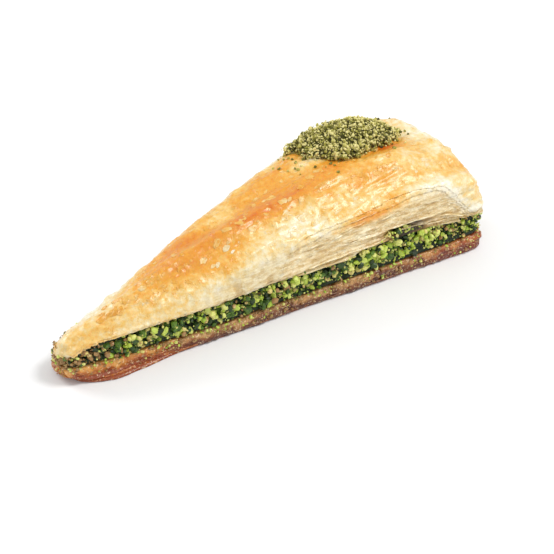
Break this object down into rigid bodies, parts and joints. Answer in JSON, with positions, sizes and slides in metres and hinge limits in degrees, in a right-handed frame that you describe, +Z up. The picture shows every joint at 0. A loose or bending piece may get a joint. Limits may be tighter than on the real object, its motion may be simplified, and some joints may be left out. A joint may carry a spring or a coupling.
{
  "type": "baklava slice",
  "caption": "Long wedge of puffed pistachio baklava: syrup-soaked base sheets, a band of chopped pistachio, a flaky golden roof and a mound of ground pistachio on top.",
  "frame": {"origin": "middle of the slice's outline, on the surface that it rests on", "axes": "+X along the wedge from its blunt tip to the tray rim end, +Y across it, +Z up"},
  "size_m": [0.1716, 0.07, 0.0446],
  "materials": {
    "soaked_base_pastry": "thin pastry sheets soaked brown in syrup, sticky gloss",
    "chopped_pistachio": "moist chopped green nuts",
    "golden_pastry": "baked thin pastry sheets, buttery sheen",
    "ground_pistachio": "dry crumbly ground nuts"
  },
  "bodies": {
    "root": {"base_pastry": "soaked_base_pastry", "pistachio_filling": "chopped_pistachio", "puffed_pastry": "golden_pastry", "ground_pistachio": "ground_pistachio"}
  },
  "joints": []
}
